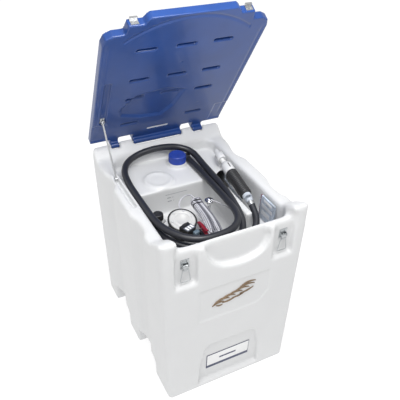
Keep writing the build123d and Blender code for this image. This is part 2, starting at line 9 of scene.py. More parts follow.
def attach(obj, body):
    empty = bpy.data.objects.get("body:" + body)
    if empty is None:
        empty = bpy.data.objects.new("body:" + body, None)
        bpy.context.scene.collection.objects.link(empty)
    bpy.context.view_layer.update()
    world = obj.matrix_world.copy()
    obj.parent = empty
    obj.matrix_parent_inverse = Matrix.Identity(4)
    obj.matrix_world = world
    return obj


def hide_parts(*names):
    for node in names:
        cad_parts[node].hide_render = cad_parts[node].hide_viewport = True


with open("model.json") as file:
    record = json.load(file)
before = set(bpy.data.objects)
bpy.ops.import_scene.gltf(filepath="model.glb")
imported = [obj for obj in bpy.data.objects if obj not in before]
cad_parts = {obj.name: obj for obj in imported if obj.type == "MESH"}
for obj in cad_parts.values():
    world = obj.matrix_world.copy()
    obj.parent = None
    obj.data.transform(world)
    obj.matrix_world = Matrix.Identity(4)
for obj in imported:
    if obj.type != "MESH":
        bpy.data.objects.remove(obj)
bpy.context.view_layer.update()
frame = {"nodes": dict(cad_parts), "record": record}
NODES = frame["nodes"]
scene = bpy.context.scene

# ---- camera ---------------------------------------------------------------------------
AZ, EL, ROLL = math.radians(-27.56), math.radians(41.62), math.radians(1.918)
CAM_AIM, CAM_DISTANCE = Vector((0, 0, 0.410)), 2.1637
back = Vector((math.sin(AZ) * math.cos(EL), -math.cos(AZ) * math.cos(EL), math.sin(EL)))
right = Vector((math.cos(AZ), math.sin(AZ), 0))
up = back.cross(right)
r2 = right * math.cos(ROLL) + up * math.sin(ROLL)
u2 = -right * math.sin(ROLL) + up * math.cos(ROLL)
cam_data = bpy.data.cameras.new("camera")
cam = bpy.data.objects.new("camera", cam_data)
scene.collection.objects.link(cam)
turn = Matrix((r2, u2, back)).transposed().to_4x4()
cam.matrix_world = Matrix.Translation(CAM_AIM + back * CAM_DISTANCE) @ turn
cam_data.lens, cam_data.sensor_width = 44.10, 36
cam_data.shift_x, cam_data.shift_y = 0.0230, 0.1304
cam_data.clip_end = 50
scene.camera = cam

# ---- lid frame, as in the CAD ------------------------------------------------------------
OPEN = math.radians(58.81)
S, C = math.sin(OPEN), math.cos(OPEN)
LID_O = Vector((0, 0.350 + 0.013 * S, 0.803 + 0.013 * C))
LID_N, LID_S = Vector((0, S, C)), Vector((0, -C, S))


LID_M = Matrix((Vector((1, 0, 0)), LID_S, LID_N)).transposed().to_4x4()
LID_M = Matrix.Translation(LID_O) @ LID_M
SLOT_ROWS, SLOT_COLUMNS = (0.126, 0.286, 0.396, 0.546), (-0.145, 0.0, 0.140)


def lid_pt(x, s, t):
    return LID_O + Vector((x, 0, 0)) + LID_S * s + LID_N * t


# ---- materials ------------------------------------------------------------------------
def material(name, color, rough=0.5, metal=0.0, bump=0.0, scale=150.0, vary=0.06,
             coat=0.0, alpha=1.0, blotch=9.0):
    """Principled material with blotchy colour noise and, if bump is given, a fine grain."""
    m = bpy.data.materials.new(name)
    m.use_nodes = True
    nt = m.node_tree
    b = nt.nodes["Principled BSDF"]
    b.inputs["Roughness"].default_value = rough
    b.inputs["Metallic"].default_value = metal
    b.inputs["Coat Weight"].default_value = coat
    b.inputs["Alpha"].default_value = alpha
    coords = nt.nodes.new("ShaderNodeTexCoord")
    noise = nt.nodes.new("ShaderNodeTexNoise")
    noise.inputs["Scale"].default_value = blotch
    noise.inputs["Detail"].default_value = 3.0
    nt.links.new(coords.outputs["Object"], noise.inputs["Vector"])
    ramp = nt.nodes.new("ShaderNodeValToRGB")
    lo = [c * (1 - vary) for c in color]
    hi = [min(1, c * (1 + vary)) for c in color]
    ramp.color_ramp.elements[0].position, ramp.color_ramp.elements[1].position = 0.3, 0.7
    ramp.color_ramp.elements[0].color = (*lo, 1)
    ramp.color_ramp.elements[1].color = (*hi, 1)
    nt.links.new(noise.outputs["Fac"], ramp.inputs["Fac"])
    nt.links.new(ramp.outputs["Color"], b.inputs["Base Color"])
    if bump:
        fine = nt.nodes.new("ShaderNodeTexNoise")
        fine.inputs["Scale"].default_value = scale
        fine.inputs["Detail"].default_value = 4.0
        nt.links.new(coords.outputs["Object"], fine.inputs["Vector"])
        bp = nt.nodes.new("ShaderNodeBump")
        bp.inputs["Strength"].default_value = bump
        bp.inputs["Distance"].default_value = 0.001
        nt.links.new(fine.outputs["Fac"], bp.inputs["Height"])
        nt.links.new(bp.outputs["Normal"], b.inputs["Normal"])
    return m


M = {
    "white_body": material("white_body", (0.67, 0.675, 0.68), 0.42, bump=0.05, scale=60,
                           vary=0.012, coat=0.1),
    "blue_lid": material("blue_lid", (0.011, 0.050, 0.215), 0.34, bump=0.10, scale=260, vary=0.10, coat=0.25),
    "steel": material("steel", (0.62, 0.63, 0.64), 0.32, 1.0, bump=0.05, scale=500),
    "zinc": material("zinc", (0.50, 0.52, 0.53), 0.35, 1.0, bump=0.08, scale=500),
    "cap_blue": material("cap_blue", (0.02, 0.055, 0.34), 0.4, bump=0.05, scale=300),
    "rubber": material("rubber", (0.015, 0.015, 0.016), 0.6, bump=0.2, scale=400),
    "black_plastic": material("black_plastic", (0.018, 0.018, 0.02), 0.45, bump=0.15, scale=400),
    "pump_white": material("pump_white", (0.58, 0.58, 0.575), 0.35, bump=0.03, vary=0.02),
    "print_grey": material("print_grey", (0.12, 0.14, 0.19), 0.4, vary=0.15),
    "smoke_plastic": material("smoke_plastic", (0.13, 0.18, 0.22), 0.25, coat=0.3, vary=0.1),
    "chrome": material("chrome", (0.86, 0.86, 0.87), 0.22, 1.0, bump=0.02),
    "hose_rubber": material("hose_rubber", (0.019, 0.020, 0.026), 0.42, bump=0.1, scale=350,
                            vary=0.1, coat=0.12),
    "nozzle_grey": material("nozzle_grey", (0.50, 0.54, 0.60), 0.35, coat=0.2, vary=0.04),
    "cable_grey": material("cable_grey", (0.52, 0.52, 0.56), 0.45, bump=0.05, scale=500),
    "cable_dark": material("cable_dark", (0.20, 0.20, 0.23), 0.45, bump=0.05, scale=500),
    "clamp_red": material("clamp_red", (0.20, 0.008, 0.02), 0.45, bump=0.05),
    "clear_film": material("clear_film", (0.75, 0.80, 0.90), 0.12, alpha=0.3, coat=0.5, vary=0.03),
    "paper": material("paper", (0.42, 0.48, 0.56), 0.6, vary=0.45, blotch=38),
    "mark_grey": material("mark_grey", (0.30, 0.31, 0.34), 0.5),
    "slot_white": material("slot_white", (0.92, 0.93, 0.95), 0.4),
    "spine_red": material("spine_red", (0.13, 0.012, 0.03), 0.5),
    "label_white": material("label_white", (0.82, 0.82, 0.82), 0.35, vary=0.02),
    "label_dark": material("label_dark", (0.02, 0.03, 0.09), 0.35, vary=0.1),
    "emblem_brown": material("emblem_brown", (0.20, 0.13, 0.07), 0.45, vary=0.3),
}
slot_of = {p["node"]: p["material_slot"] for p in frame["record"]["subparts"]}
for node, obj in NODES.items():
    obj.data.materials.clear()
    obj.data.materials.append(M[slot_of[node]])


# ---- mesh tools -----------------------------------------------------------------------
def smooth(obj, angle=40):
    for p in obj.data.polygons:
        p.use_smooth = True
    bpy.context.view_layer.objects.active = obj
    obj.select_set(True)
    bpy.ops.object.shade_auto_smooth(angle=math.radians(angle))
    obj.select_set(False)


def from_mesh(name, mesh, mat, body, replaces=()):
    obj = bpy.data.objects.new(name, mesh)
    scene.collection.objects.link(obj)
    mesh.materials.clear()
    mesh.materials.append(M[mat])
    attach(obj, body)
    if replaces:
        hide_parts(*replaces)
    return obj


def mesh_of(bm, name):
    """Mesh made from a bmesh, which is freed."""
    mesh = bpy.data.meshes.new(name)
    bm.to_mesh(mesh)
    bm.free()
    return mesh


def bridge(bm, rings):
    """Quads between each ring of vertices and the next, with every ring closed on itself."""
    n = len(rings[0])
    for a, b in zip(rings, rings[1:]):
        for k in range(n):
            bm.faces.new((a[k], a[(k + 1) % n], b[(k + 1) % n], b[k]))


def baked(obj):
    deps = bpy.context.evaluated_depsgraph_get()
    return bpy.data.meshes.new_from_object(obj.evaluated_get(deps), depsgraph=deps)


def add_box(bm, lo, hi, frame_m=None):
    m = Matrix.Translation([(a + b) / 2 for a, b in zip(lo, hi)])
    m = m @ Matrix.Diagonal([b - a for a, b in zip(lo, hi)] + [1])
    bmesh.ops.create_cube(bm, size=1, matrix=frame_m @ m if frame_m else m)


def add_rod(bm, a, b, r, r2=None, n=32):
    a, b = Vector(a), Vector(b)
    q = (b - a).to_track_quat("Z", "Y").to_matrix().to_4x4()
    bmesh.ops.create_cone(bm, cap_ends=True, segments=n, radius1=r, radius2=r if r2 is None else r2,
                          depth=(b - a).length, matrix=Matrix.Translation((a + b) / 2) @ q)


def points_of(mesh):
    """Vertex positions of a mesh, one row each."""
    co = np.empty(len(mesh.vertices) * 3)
    mesh.vertices.foreach_get("co", co)
    return co.reshape(-1, 3)


def skin(node, voxel, rounds, plugs, soften=None):
    """Closed moulded skin of a CAD node: plugged, remeshed fine and rounded at its edges."""
    bm = bmesh.new()
    bm.from_mesh(NODES[node].data)
    plugs(bm)
    mesh = mesh_of(bm, node + "_work")
    obj = bpy.data.objects.new(node + "_work", mesh)
    scene.collection.objects.link(obj)
    rem = obj.modifiers.new("remesh", "REMESH")
    rem.mode, rem.voxel_size, rem.use_smooth_shade = "VOXEL", voxel, True
    sm = obj.modifiers.new("smooth", "SMOOTH")
    sm.factor, sm.iterations = 0.5, rounds
    out = baked(obj)
    if soften:
        obj.modifiers.clear()
        obj.data = out
        weight = soften(points_of(out))
        group = obj.vertex_groups.new(name="soft")
        for i in np.nonzero(weight > 0.01)[0]:
            group.add([int(i)], float(weight[i]), "REPLACE")
        sm = obj.modifiers.new("smooth", "SMOOTH")
        sm.factor, sm.iterations, sm.vertex_group = 0.5, 60, "soft"
        out = baked(obj)
    bpy.data.objects.remove(obj)
    return out


def step(x, a, b):
    """Smooth rise from 0 at a to 1 at b."""
    t = np.clip((x - a) / (b - a), 0, 1)
    return t * t * (3 - 2 * t)


# ---- tank -----------------------------------------------------------------------------
def tank_plugs(bm):
    """Plug in the filler neck, so that the remesh sees a closed moulding."""
    add_rod(bm, (0.038, 0.228, 0.705), (0.038, 0.228, 0.764), 0.0262)


def tank_soft(co):
    x, y, z = co.T
    rim = step(z, 0.725, 0.745)
    inside = (np.abs(x) < 0.225) & (y > -0.30) & (y < 0.293)
    knuckle = (y > 0.325) & (np.abs(x) < 0.225)
    slot = (x < -0.245) & (x > -0.275) & (y > -0.06) & (y < 0.19)
    return np.where(inside | knuckle | slot, 0.0, rim)


PANEL_DEPTH = 0.0028
FRONT_Y, FRONT_LEAN, POST_Z = -0.397, 0.043, 0.815      # foot of the front, its lean back, post height
TANK_VOXEL, TANK_ROUNDS = ((0.0042, 22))
tank_mesh = skin("tank_body", TANK_VOXEL, TANK_ROUNDS, tank_plugs, tank_soft)
co = points_of(tank_mesh)
face_y = FRONT_Y + FRONT_LEAN * co[:, 2] / POST_Z
on_face = np.abs(co[:, 1] - face_y) < 0.004
lower = 0.403 + 0.05 * step(co[:, 0], 0.10, 0.165)
panel = step(co[:, 2], lower, lower + 0.010) * (1 - step(co[:, 2], 0.560, 0.566))
panel *= step(co[:, 0], -0.155, -0.145) * (1 - step(co[:, 0], 0.150, 0.165))
co[:, 1] += np.where(on_face, PANEL_DEPTH * panel, 0)
tank_mesh.vertices.foreach_set("co", co.ravel())
tank = from_mesh("tank_skin", tank_mesh, "white_body", "tank", ["tank_body"])


# ---- lid ------------------------------------------------------------------------------
def lid_plugs(bm):
    """Plugs below the surface of the drain holes, so that the remesh sees a closed shell."""
    for x, s in ((0.003, 0.461), (0.145, 0.185)):
        add_rod(bm, lid_pt(x, s, 0.003), lid_pt(x, s, 0.0075), 0.0045)


LID_VOXEL, LID_ROUNDS = 0.0028, 6
lid_mesh = skin("lid_shell", LID_VOXEL, LID_ROUNDS, lid_plugs)
co = points_of(lid_mesh)
rel = co - np.array(LID_O)
lx, ls, lt = rel[:, 0], rel @ np.array(LID_S), rel @ np.array(LID_N)
inner = lt < 0.0025


def inside_shape(points, soft):
    """Smooth 0..1 mask of a convex outline given anticlockwise in (x, s)."""
    mask = np.ones(len(lx))
    for (x0, s0), (x1, s1) in zip(points, points[1:] + points[:1]):
        n = math.hypot(x1 - x0, s1 - s0)
        d = ((x1 - x0) * (ls - s0) - (s1 - s0) * (lx - x0)) / n
        mask = np.minimum(mask, step(d, -soft / 2, soft / 2))
    return mask


DENT_DEPTH, SLOT_DEPTH, CROWN_DEPTH, RAIL_DEPTH, CORNER_DEPTH = 0.0075, 0.012, 0.0030, 0.0020, 0.004
dent = DENT_DEPTH * inside_shape([(-0.195, 0.225), (-0.186, 0.189), (-0.104, 0.160), (-0.015, 0.150),
                              (0.030, 0.200), (0.058, 0.293), (-0.02, 0.32), (-0.14, 0.30)], 0.016)
arch = 0.672 - 0.55 * np.abs(lx) ** 2.1 * 3.2
crown = np.exp(-((ls - arch) / 0.006) ** 2) * (np.abs(lx) < 0.23)
rail = np.exp(-((np.abs(lx) - 0.283) / 0.006) ** 2) * step(ls, 0.05, 0.09) * (1 - step(ls, 0.56, 0.60))
corner = step(np.abs(lx), 0.236, 0.246) * step(ls, 0.03, 0.04) * (1 - step(ls, 0.140, 0.152))
slots = np.zeros(len(lx))
for s0 in SLOT_ROWS:
    for x0 in SLOT_COLUMNS:
        if s0 > SLOT_ROWS[0] or x0:
            far = np.hypot(np.maximum(np.abs(lx - x0) - 0.030, 0), ls - s0)
            slots = np.maximum(slots, 1 - step(far, 0.004, 0.0085))
push = dent + CROWN_DEPTH * crown + RAIL_DEPTH * rail + CORNER_DEPTH * corner
# slots move all that lies within 12 mm of the inner face, and the rest moves the inner face alone
co += np.where(lt < 0.012, SLOT_DEPTH * slots, 0)[:, None] * np.array(LID_N)
co += np.where(inner, push, 0)[:, None] * np.array(LID_N)
lid_mesh.vertices.foreach_set("co", co.ravel())
lid = from_mesh("lid_skin", lid_mesh, "blue_lid", "lid", ["lid_shell"])
# white strip seen through the hand slot near the hinge
bm = bmesh.new()
add_box(bm, (-0.055, 0.0556, 0.0012), (0.040, 0.0644, 0.004), LID_M)
bmesh.ops.bevel(bm, geom=bm.edges[:], offset=0.0008, segments=2, profile=0.5, affect="EDGES")
from_mesh("slot_strip", mesh_of(bm, "slot_strip"), "slot_white", "lid")


# ---- cords ----------------------------------------------------------------------------
def cord_curve(name, points_mm, r, mat, node, body="tank"):
    data = bpy.data.curves.new(name, "CURVE")
    data.dimensions = "3D"
    spline = data.splines.new("NURBS")
    spline.points.add(len(points_mm) - 1)
    for p, q in zip(spline.points, points_mm):
        p.co = (q[0] / 1000, q[1] / 1000, q[2] / 1000, 1)
    spline.order_u = 3
    spline.use_endpoint_u = True
    spline.resolution_u = 8
    data.bevel_depth = r / 1000
    data.bevel_resolution = 6
    data.use_fill_caps = True
    obj = bpy.data.objects.new(name, data)
    scene.collection.objects.link(obj)
    data.materials.append(M[mat])
    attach(obj, body)
    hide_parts(node)
    return obj


HOSE = [(92.5, 236, 735), (92.5, 186, 735), (95.5, 116, 735.5), (95, 40, 736), (92, -40, 739),
        (89, -118, 742), (86, -190, 743), (66, -246, 744), (20, -286, 746), (-40, -298, 747),
        (-106, -296, 749), (-154, -272, 750), (-188, -230, 751), (-214, -178, 752),
        (-223.5, -112, 753), (-224, -30, 754), (-224, 50, 754), (-223, 130, 756),
        (-212, 205, 760), (-180, 256, 768), (-126, 281, 777), (-60, 286, 785), (12, 286, 783),
        (74, 277, 772), (117, 238, 760), (125, 166, 743), (124, 90, 741), (122.5, 10, 741),
        (119, -64, 739), (114, -140, 730), (108, -205, 712), (84, -258, 694), (34, -290, 688),
        (-38, -297, 692), (-108, -292, 704), (-168, -264, 712), (-208, -212, 716),
        (-222, -140, 716), (-222, -70, 712), (-218, -20, 698), (-212, 0, 665), (-210, -20, 632),
        (-206, -70, 616), (-190, -150, 615), (-140, -220, 615), (-60, -262, 615),
        (30, -272, 618), (90, -266, 632), (125, -255, 658), (158, -235, 674), (184, -190, 692),
        (188.5, -134, 714)]
hose = cord_curve("hose", HOSE, 13.5, "hose_rubber", "delivery_hose")


# ---- turned pieces and boxes ------------------------------------------------------------
def lathe(name, origin, axis, profile, mat, body, replaces=(), n=72, ribs=0, depth=0.0,
          span=(0, 0), angle=40):
    """Solid of revolution: profile is (radius, height) in mm from the inner start round to its end."""
    z = Vector(axis).normalized()
    x = z.orthogonal().normalized()
    y = z.cross(x)
    bm = bmesh.new()
    rings = []
    for r, h in profile:
        ring = []
        for k in range(n):
            a = 2 * math.pi * k / n
            rr = r
            if ribs and span[0] <= h <= span[1] and r > 5:
                rr = r - depth * (0.5 - 0.5 * math.cos(ribs * a))
            p = Vector(origin) + (x * math.cos(a) + y * math.sin(a)) * rr + z * h
            ring.append(bm.verts.new(p / 1000))
        rings.append(ring)
    bridge(bm, rings)
    if profile[0] != profile[-1]:
        bm.faces.new(rings[0][::-1])
        bm.faces.new(rings[-1])
    bmesh.ops.recalc_face_normals(bm, faces=bm.faces)
    obj = from_mesh(name, mesh_of(bm, name), mat, body, replaces)
    smooth(obj, angle)
    return obj


def rounded_slab(name, lo, hi, radius, mat, body, replaces=(), place=None, segments=3):
    """Box in mm with rounded edges."""
    bm = bmesh.new()
    add_box(bm, [v / 1000 for v in lo], [v / 1000 for v in hi], place)
    bmesh.ops.bevel(bm, geom=bm.edges[:], offset=radius / 1000, segments=segments, profile=0.5,
                    affect="EDGES")
    obj = from_mesh(name, mesh_of(bm, name), mat, body, replaces)
    smooth(obj, 50)
    return obj


# filler cap and the collar of its neck
lathe("cap_visual", (38, 228, 737.5), (0, 0, 1),
      [(0.01, 30.6), (32.1, 30.6), (32.1, 0), (36.6, 0), (37.4, 1), (37.4, 4), (37.6, 5), (37.6, 27),
       (37.0, 29), (35.6, 31.5), (33.5, 33.4), (31, 34.3), (29.5, 34.3), (28.5, 33.2), (27, 32.8),
       (0.01, 32.8)],
      "cap_blue", "cap", ["filler_cap"], n=192, ribs=32, depth=1.7, span=(4.5, 28))
lathe("neck_collar", (38, 228, 719), (0, 0, 1),
      [(0.01, 0), (43, 0), (41.5, 4), (40, 10), (38.5, 16), (37.4, 17.8), (30, 18), (0.01, 18)],
      "white_body", "tank")

# pump: upright body leaning to the front, seen from above as a ringed disc
LEAN = math.radians(13)
PN, PU = Vector((0, -math.sin(LEAN), math.cos(LEAN))), Vector((0, math.cos(LEAN), math.sin(LEAN)))
PO = Vector((-93, -100, 692))


def pump_pt(x, y, z):
    return PO + Vector((1, 0, 0)) * x + PU * y + PN * z


lathe("pump_face_visual", pump_pt(0, 0, -8.8), PN,
      [(0.01, 0), (51.3, 0), (51.3, 6.6), (50.4, 9.0), (47.5, 10.6), (37.5, 10.6), (36.5, 9.0),
       (30, 9.0), (29, 10.7), (24, 10.8), (23, 9.2), (0.01, 9.2)],
      "pump_white", "tank", ["pump_face"], n=128)
lathe("pump_ring_visual", pump_pt(0, 0, -9), PN,
      [(51.5, 0), (56.9, 0), (57.5, 0.8), (57.5, 7.8), (56.4, 9.0), (53, 9.0), (51.5, 7.8), (51.5, 0)],
      "black_plastic", "tank", ["pump_ring"], n=128)
lathe("pump_housing_visual", pump_pt(0, 0, -60), PN,
      [(0.01, 0), (49, 0), (50, 1.5), (50, 45), (52, 47), (56, 49), (56, 51), (0.01, 51)],
      "black_plastic", "tank", ["pump_housing"], n=144, ribs=24, depth=1.4,
      span=(4, 44))
for k in range(4):
    a = math.radians(60 * k)
    lathe("pump_bolt_%d" % k, pump_pt(42 * math.cos(a), 42 * math.sin(a), 1.6), PN,
          [(0.01, 0), (4, 0), (4, 1.8), (3.2, 2.8), (2, 2.8), (1.6, 1.6), (0.01, 1.6)],
          "steel", "tank", ["pump_screws"] if k == 0 else (), n=6, angle=20)
lathe("motor_visual", pump_pt(0, 0, -78), PN,
      [(0.01, 0), (40, 0), (42, 2), (42, 18), (0.01, 18)],
      "black_plastic", "tank", ["motor"], n=96)
# knob on the strainer pipe
lathe("knob_visual", (-165, -31, 672), (0, 0, 1),
      [(0.01, 0), (20.4, 0), (21.4, 1.5), (21.2, 19), (20.2, 22.2), (17.5, 24.4), (11, 25), (9, 23.6),
       (0.01, 23.2)], "black_plastic", "knob", ["strainer_knob"], n=160, ribs=20,
      depth=2.0, span=(1, 21))

# level sensor fitting in the well
lathe("fitting_visual", (52, -44, 690), (0, 0, 1),
      [(0.01, 0), (14.5, 0), (15, 0.8), (15, 11), (14.5, 12), (10.5, 12.4), (10.5, 20), (9.6, 22),
       (0.01, 22.4)], "chrome", "tank", n=6, angle=25)
lathe("fitting_ring", (52, -44, 700.5), (0, 0, 1),
      [(10.6, 0), (17.5, 0), (18.5, 1), (18.5, 4.5), (17.5, 5.5), (10.6, 5.5), (10.6, 0)],
      "chrome", "tank", n=64)
# generic marks on the back wall of the well
for k, (x0, x1, z0, z1) in enumerate(((-86, 12, 689, 691), (-78, -62, 672, 676), (-58, -50, 673, 675),
                                      (-76, -58, 655, 659), (-52, -47, 656, 658))):
    rounded_slab("mark_%d" % k, (x0, 74.6, z0), (x1, 75.6, z1), 0.2, "mark_grey", "tank")

# switch box with a grey printed face, and the smoke-grey terminal cover in front of it
TURN = math.radians(21)
SW = Matrix.Translation((-0.106, -0.171, 0)) @ Matrix.Rotation(TURN, 4, "Z")
rounded_slab("switch_box_visual", (-23, -22.5, 690), (23, 22.5, 713.9), 3.5, "black_plastic", "tank",
             ["switch_box"], place=SW)
rounded_slab("switch_neck", (-12, -18, 657), (12, 20, 691), 3, "black_plastic", "tank",
             place=SW)
rounded_slab("switch_plate_visual", (-20.5, -20.5, 713.2), (20.5, 3, 714.8), 0.6, "print_grey",
             "tank", ["switch_plate"], place=SW)
for k in range(3):
    rounded_slab("switch_bar_%d" % k, (-16.5 + 12.4 * k, -17.5, 714.6), (-8.5 + 12.4 * k, 0, 715.1),
                 0.2, "label_white", "tank", place=SW)
rounded_slab("terminal_visual", (2, -40, 682), (27, -22.5, 703), 4.5, "smoke_plastic", "tank",
             ["terminal_cover"], place=SW)

# ---- nozzle -----------------------------------------------------------------------------
NOZ_A, NOZ_B = Vector((199, 99, 756)), Vector((186, -107, 728))
NOZ_D = (NOZ_B - NOZ_A).normalized()


def noz(d):
    return NOZ_A + NOZ_D * d


grip = [(13.1, 62), (20, 62), (22.8, 63.5), (24.4, 66)]
for k in range(14):
    h = 68 + 9.4 * k
    grip += [(24.4, h), (24.4, h + 6.2), (23.0, h + 7.2), (23.0, h + 8.6)]
grip += [(24, 201), (22.8, 204.5), (20, 206), (13.1, 206), (13.1, 62)]
lathe("grip_visual", NOZ_A, NOZ_D, grip, "black_plastic", "tank", ["nozzle_grip"], n=64)
lathe("nozzle_visual", NOZ_A, NOZ_D,
      [(0.01, 0.5), (13, 0.5), (16.5, 2), (17, 9), (19, 12), (22.4, 15), (23.4, 22), (23.4, 50),
       (22.4, 57), (19, 61.4), (13, 61.8), (13, 206), (0.01, 206)],
      "white_body", "tank", ["nozzle_body"], n=64)
q = NOZ_D.to_track_quat("Y", "Z").to_matrix().to_4x4()
rounded_slab("nozzle_slit", (-2.2, -13, 21.8), (2.2, 13, 23.9), 0.8, "black_plastic", "tank",
             place=Matrix.Translation(noz(36) / 1000) @ q)
lathe("swivel_visual", noz(206), NOZ_D,
      [(0.01, 0), (16, 0), (18, 1.5), (18, 5), (16.8, 6), (16.8, 9), (18, 10), (18, 14), (16, 16),
       (0.01, 16)], "nozzle_grey", "tank", n=48)
lathe("cup_visual", noz(-62), NOZ_D,
      [(11.3, 0), (17.5, 0), (19, 1.5), (19, 33), (17.5, 36), (11.3, 36), (11.3, 0)],
      "white_body", "tank", ["spout_cup"], n=64)
lathe("spout_visual", noz(-92), NOZ_D,
      [(8.6, 0), (10, 0), (10.5, 0.6), (10.5, 92), (8.6, 92), (8.6, 0)],
      "white_body", "tank", ["nozzle_spout"], n=48)
rounded_slab("cup_foot", (194.4, 129, 720.2), (211.6, 155, 746), 2, "white_body", "tank")

# ---- cable hank: parallel strands folded back and forth ----------------------------------
HANK_A, HANK_B = Vector((0, -18, 708)), Vector((-21, -240, 696))
HD = (HANK_B - HANK_A).normalized()
HU = Vector((-HD.y, HD.x, 0)).normalized()
HV = HD.cross(HU)
if HV.z < 0:
    HV = -HV
HL = (HANK_B - HANK_A).length


def hank_pt(u, v, d):
    spread = 0.86 + 0.34 * step(np.array(d), 60, HL)
    bend = 9 * math.sin(math.pi * max(0, d - 40) / (HL - 40))
    return tuple(HANK_A + HU * float(u * spread + bend) + HV * v + HD * d)


STRAND_D, STRAND_PITCH = 5.2, 6.4
routes = [[], []]
for row, (v, count) in enumerate(((10.2, 7), (3.6, 8), (-3.4, 7), (-10.2, 8))):
    for k in range(count):
        u = (k - (count - 1) / 2) * STRAND_PITCH * (1 if row % 2 == 0 else -1)
        wob = 1.3 * math.sin(2.1 * k + row)
        ds = [6 + 2 * math.sin(k), 29, 70, 120, 170, HL - 8 - 4 * math.cos(k * 1.7)]
        run = [hank_pt(u + (wob if 1 < i < 5 else 0), v, d) for i, d in enumerate(ds)]
        one = routes[(k // 2 + row) % 2]
        one += run if (len(one) // 6) % 2 == 0 else run[::-1]
for i, (route, tone) in enumerate(zip(routes, ("cable_grey", "cable_dark"))):
    data = bpy.data.curves.new("hank_%d" % i, "CURVE")
    data.dimensions = "3D"
    sp = data.splines.new("NURBS")
    sp.points.add(len(route) - 1)
    for q, c in zip(sp.points, route):
        q.co = (c[0] / 1000, c[1] / 1000, c[2] / 1000, 1)
    sp.order_u, sp.use_endpoint_u, sp.resolution_u = 3, True, 4
    data.bevel_depth, data.bevel_resolution = STRAND_D / 2000, 3
    hank_work = bpy.data.objects.new("hank_work", data)
    scene.collection.objects.link(hank_work)
    hank_mesh = baked(hank_work)
    bpy.data.objects.remove(hank_work)
    hank = from_mesh("hank_visual_%d" % i, hank_mesh, tone, "tank",
                     ["cable_hank"] if i == 0 else ())
    smooth(hank, 60)

def squared(c):
    """Pull a cosine outward, which turns a circle into a rounded square."""
    return math.copysign(abs(c) ** 0.6, c)


# ties: flat bands of rounded-square outline
for k, d in enumerate((22.5, 40.5)):
    bm = bmesh.new()
    loop_pts = []
    for i in range(24):
        a = 2 * math.pi * i / 24
        loop_pts.append((squared(math.cos(a)), squared(math.sin(a))))
    rings = []
    for off, grow in ((-2.4, 0), (-2.4, 1.3), (2.4, 1.3), (2.4, 0)):
        rings.append([bm.verts.new((HANK_A + HU * (20.6 + grow) * cx + HV * ((13.2 + grow) * cy)
                                    + HD * (d + off)) / 1000) for cx, cy in loop_pts])
    rings.append(rings[0])
    bridge(bm, rings)
    bmesh.ops.recalc_face_normals(bm, faces=bm.faces)
    from_mesh("tie_%d" % k, mesh_of(bm, "tie_%d" % k), "black_plastic", "tank",
              ["cable_ties"] if k == 0 else ())

SUPPLY = [tuple(HANK_A), tuple(HANK_A - HD * 26), (-11, 32, 699), (-34, 36, 684), (-52, 20, 674),
          (-58, -4, 670), (-58, -26, 669), (-58, -46, 669)]
LEAD = [tuple(HANK_B), tuple(HANK_B + HD * 12), (-28, -264, 698), (-42, -268, 705), (-53, -258, 710),
        (-56, -244, 712)]
PROBE = [(62, -54, 707), (78, -76, 706), (96, -104, 702), (108, -134, 696), (117, -164, 694),
         (119, -194, 692), (113, -220, 682)]
cord_curve("supply", SUPPLY, 3.0, "cable_grey", "supply_lead")
cord_curve("lead", LEAD, 3.0, "cable_grey", "clamp_lead")
cord_curve("probe", PROBE, 2.0, "cable_grey", "probe_cable")


# ---- ribbed guard round the hose, following the hose's own line -----------------------------
def line_of(obj):
    """Points of a curve's own smooth line."""
    copy = obj.data.copy()
    copy.bevel_depth = 0
    work = bpy.data.objects.new("line", copy)
    scene.collection.objects.link(work)
    me = baked(work)
    pts = [v.co.copy() for v in me.vertices]
    bpy.data.objects.remove(work)
    return pts


GUARD_R, GUARD_DEPTH, GUARD_RIB = 0.0150, 0.0011, 0.0021
hose_line = line_of(hose)
mid_a, mid_b = Vector((0.059, -0.274, 0.691)), Vector((-0.138, -0.278, 0.708))
ia = min(range(len(hose_line)), key=lambda i: (hose_line[i] - mid_a).length)
ib = min(range(len(hose_line)), key=lambda i: (hose_line[i] - mid_b).length)
part = hose_line[ia:ib + 1]
fine = []
for p, q in zip(part, part[1:]):
    n = max(1, round((q - p).length / 0.0012))
    fine += [p.lerp(q, i / n) for i in range(n)]
fine.append(part[-1])
bm = bmesh.new()
rings = []
walked = 0
for i, p in enumerate(fine):
    d = (fine[min(i + 1, len(fine) - 1)] - fine[max(i - 1, 0)]).normalized()
    x = d.cross(Vector((0, 0, 1))).normalized()
    y = x.cross(d)
    walked += (p - fine[i - 1]).length if i else 0
    wave = math.sin(walked / GUARD_RIB)
    r = GUARD_R + GUARD_DEPTH * math.copysign(abs(wave) ** 0.5, wave)
    rings.append([bm.verts.new(p + (x * math.cos(a) + y * math.sin(a)) * r)
                  for a in [2 * math.pi * k / 40 for k in range(40)]])
bridge(bm, rings)
bm.faces.new(rings[0][::-1])
bm.faces.new(rings[-1])
bmesh.ops.recalc_face_normals(bm, faces=bm.faces)
guard = from_mesh("guard_visual", mesh_of(bm, "guard"), "rubber", "tank", ["hose_guard"])
smooth(guard, 50)


